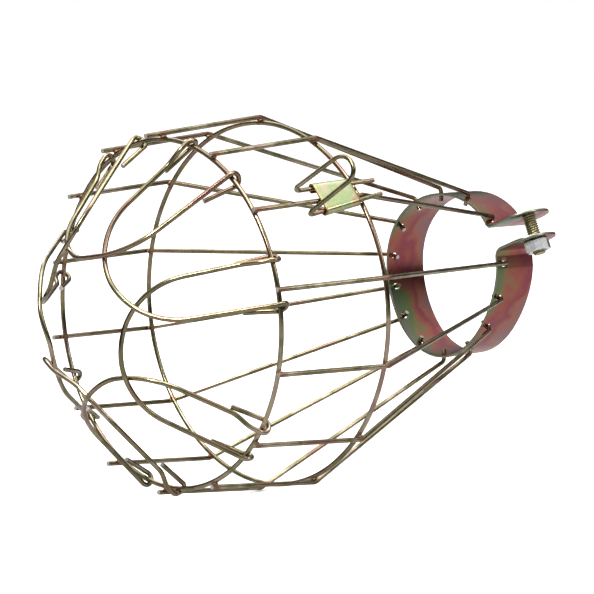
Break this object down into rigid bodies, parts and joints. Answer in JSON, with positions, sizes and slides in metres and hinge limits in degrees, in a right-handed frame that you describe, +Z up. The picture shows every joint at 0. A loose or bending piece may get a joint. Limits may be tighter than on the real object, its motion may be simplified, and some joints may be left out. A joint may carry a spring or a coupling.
{
  "type": "bulb guard",
  "caption": "Wire cage bulb guard with a slotted clamp collar, hinged petals closing the nose, and a hanging loop clip, for a brooder heat lamp.",
  "frame": {"origin": "centre of the clamp collar's bore, at half its width", "axes": "+X along the bore away from the cage, +Z up, the cage's nose towards -X"},
  "size_m": [0.2222, 0.1555, 0.1566],
  "materials": {
    "wire_zinc": "yellow zinc plated wire",
    "band_zinc": "yellow zinc plated strip, iridescent",
    "plate_zinc": "yellow zinc plated sheet",
    "stud_zinc": "yellow zinc plated thread",
    "nut_zinc": "bright zinc"
  },
  "bodies": {
    "root": {"clamp_band": "band_zinc", "clamp_stud": "stud_zinc", "hoop_large": "wire_zinc", "hoop_small": "wire_zinc", "rib_01": "wire_zinc", "rib_02": "wire_zinc", "rib_03": "wire_zinc", "rib_04": "wire_zinc", "rib_05": "wire_zinc", "rib_06": "wire_zinc", "rib_07": "wire_zinc", "rib_08": "wire_zinc", "rib_09": "wire_zinc", "rib_10": "wire_zinc", "rib_11": "wire_zinc", "rib_12": "wire_zinc", "rib_13": "wire_zinc", "rib_14": "wire_zinc", "clip_plate": "plate_zinc", "clip_loop": "wire_zinc"},
    "nut": {"clamp_nut": "nut_zinc"},
    "petal_1": {"petal_1": "wire_zinc"},
    "petal_2": {"petal_2": "wire_zinc"},
    "petal_3": {"petal_3": "wire_zinc"},
    "petal_4": {"petal_4": "wire_zinc"},
    "petal_5": {"petal_5": "wire_zinc"},
    "petal_6": {"petal_6": "wire_zinc"},
    "petal_7": {"petal_7": "wire_zinc"}
  },
  "joints": [
    {"name": "nut_spin", "type": "hinge", "parent": "root", "child": "nut", "pos_m": [0, -0.0472, 0.01773], "axis": [0, 0.3827, 0.9239], "continuous": true},
    {"name": "petal_1_hinge", "type": "hinge", "parent": "root", "child": "petal_1", "pos_m": [-0.16885, -0.003, 0.0523], "axis": [0, 0.9986, 0.0523], "range_deg": [0, 60]},
    {"name": "petal_2_hinge", "type": "hinge", "parent": "root", "child": "petal_2", "pos_m": [-0.16885, -0.04256, 0.03343], "axis": [0, 0.6691, 0.7431], "range_deg": [0, 60]},
    {"name": "petal_3_hinge", "type": "hinge", "parent": "root", "child": "petal_3", "pos_m": [-0.16885, -0.05613, -0.01632], "axis": [0, -0.1994, 0.9799], "range_deg": [0, 60]},
    {"name": "petal_4_hinge", "type": "hinge", "parent": "root", "child": "petal_4", "pos_m": [-0.16885, -0.02284, -0.05743], "axis": [0, -0.9171, 0.3987], "range_deg": [0, 60]},
    {"name": "petal_5_hinge", "type": "hinge", "parent": "root", "child": "petal_5", "pos_m": [-0.16885, 0.02689, -0.05547], "axis": [0, -0.8829, -0.4695], "range_deg": [0, 60]},
    {"name": "petal_6_hinge", "type": "hinge", "parent": "root", "child": "petal_6", "pos_m": [-0.16885, 0.05649, -0.01435], "axis": [0, -0.165, -0.9863], "range_deg": [0, 60]},
    {"name": "petal_7_hinge", "type": "hinge", "parent": "root", "child": "petal_7", "pos_m": [-0.16885, 0.04223, 0.0338], "axis": [0, 0.6756, -0.7373], "range_deg": [0, 60]}
  ],
  "couplings": [
    {"joint": "petal_2_hinge", "follows": "petal_1_hinge", "ratio": 1},
    {"joint": "petal_3_hinge", "follows": "petal_1_hinge", "ratio": 1},
    {"joint": "petal_4_hinge", "follows": "petal_1_hinge", "ratio": 1},
    {"joint": "petal_5_hinge", "follows": "petal_1_hinge", "ratio": 1},
    {"joint": "petal_6_hinge", "follows": "petal_1_hinge", "ratio": 1},
    {"joint": "petal_7_hinge", "follows": "petal_1_hinge", "ratio": 1}
  ]
}
